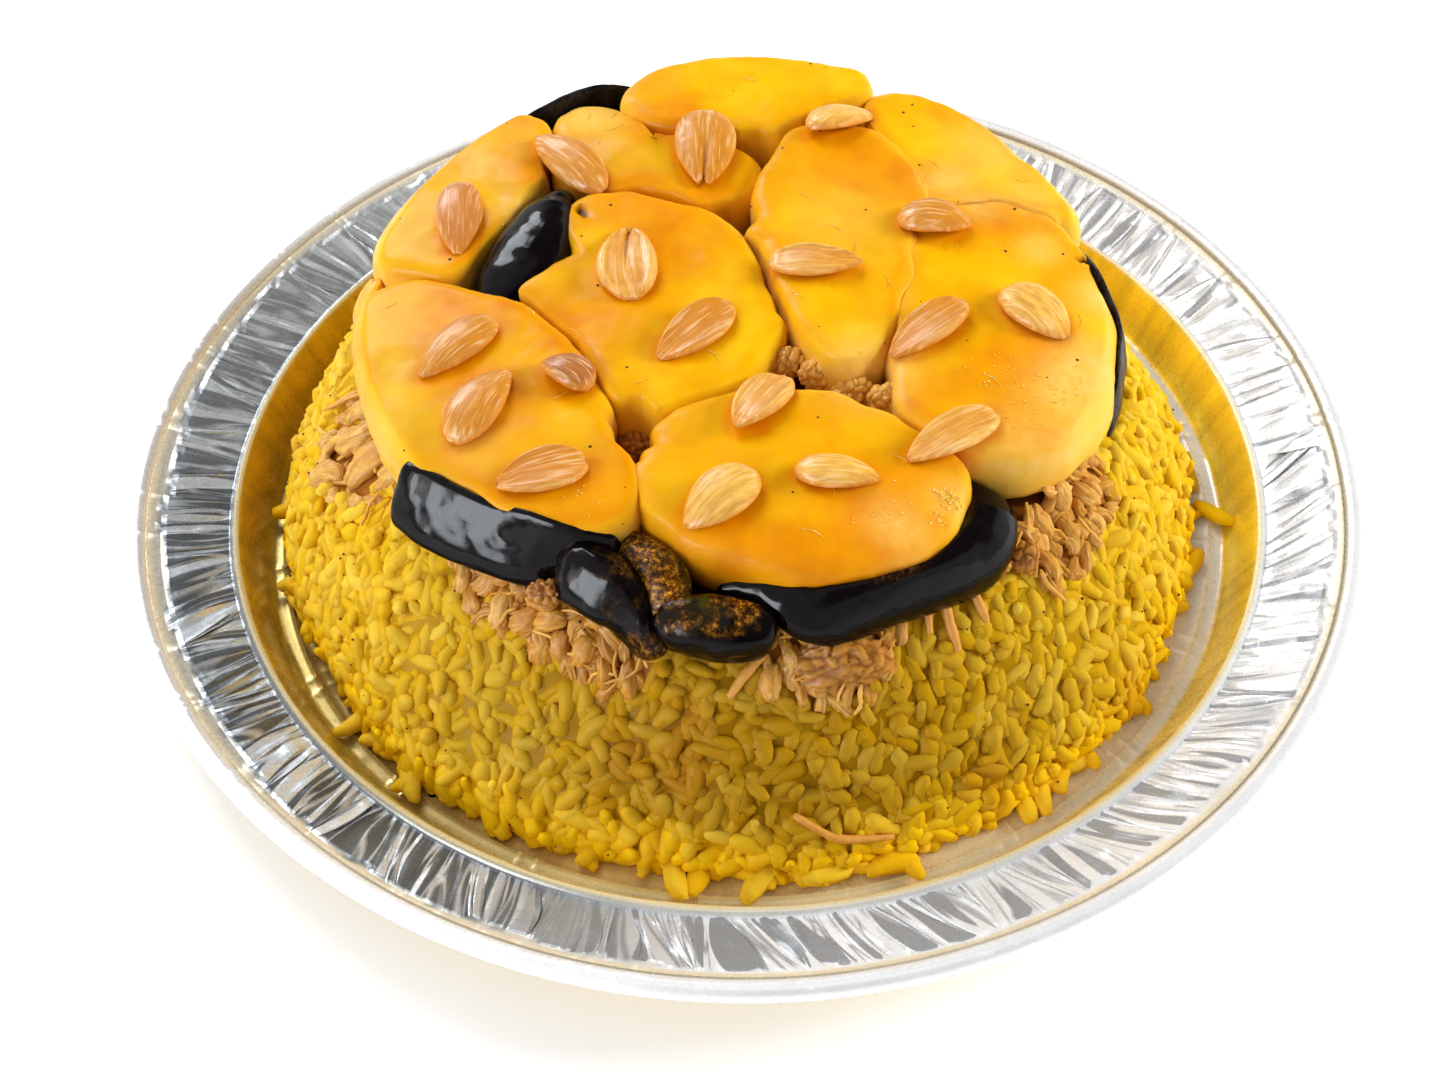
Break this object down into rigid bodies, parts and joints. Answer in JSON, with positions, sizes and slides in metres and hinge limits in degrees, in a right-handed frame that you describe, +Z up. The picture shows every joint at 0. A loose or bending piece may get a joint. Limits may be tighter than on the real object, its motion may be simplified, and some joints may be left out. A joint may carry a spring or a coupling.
{
  "type": "maqluba on a foil platter",
  "caption": "Upside-down rice dish: a turned-out mound of yellow rice and shredded chicken under glazed aubergine slices with toasted almonds, on its round crimped foil platter.",
  "frame": {"origin": "middle of the platter's flat underside, which is the bottom centre of the whole", "axes": "+Z up; -Y towards the side that faces the camera in the picture; +X to that camera's right"},
  "size_m": [0.305, 0.305, 0.0799],
  "materials": {
    "foil": "bright rolled foil",
    "rice": "moist cooked grains",
    "chicken": "moist shredded meat",
    "aubergine_flesh": "glazed with sauce",
    "aubergine_skin": "glossy cooked skin",
    "almond": "toasted, dry to satin"
  },
  "bodies": {
    "root": {"almond_01": "almond", "almond_02": "almond", "almond_03": "almond", "almond_04": "almond", "almond_05": "almond", "almond_06": "almond", "almond_07": "almond", "almond_08": "almond", "almond_09": "almond", "almond_10": "almond", "almond_11": "almond", "almond_12": "almond", "almond_13": "almond", "almond_14": "almond", "almond_15": "almond", "almond_16": "almond", "almond_17": "almond", "almond_18": "almond", "aubergine_back": "aubergine_flesh", "aubergine_back_left": "aubergine_flesh", "aubergine_back_mid": "aubergine_flesh", "aubergine_back_right": "aubergine_flesh", "aubergine_centre_left": "aubergine_flesh", "aubergine_centre_right": "aubergine_flesh", "aubergine_fold_flesh": "aubergine_flesh", "aubergine_fold_left": "aubergine_skin", "aubergine_fold_low": "aubergine_skin", "aubergine_front": "aubergine_flesh", "aubergine_front_left": "aubergine_flesh", "aubergine_right": "aubergine_flesh", "aubergine_skin_back": "aubergine_skin", "aubergine_skin_front": "aubergine_skin", "aubergine_skin_gap": "aubergine_skin", "aubergine_skin_right": "aubergine_skin", "aubergine_wedge_left": "aubergine_flesh", "chicken": "chicken", "platter": "foil", "rice": "rice"}
  },
  "joints": []
}
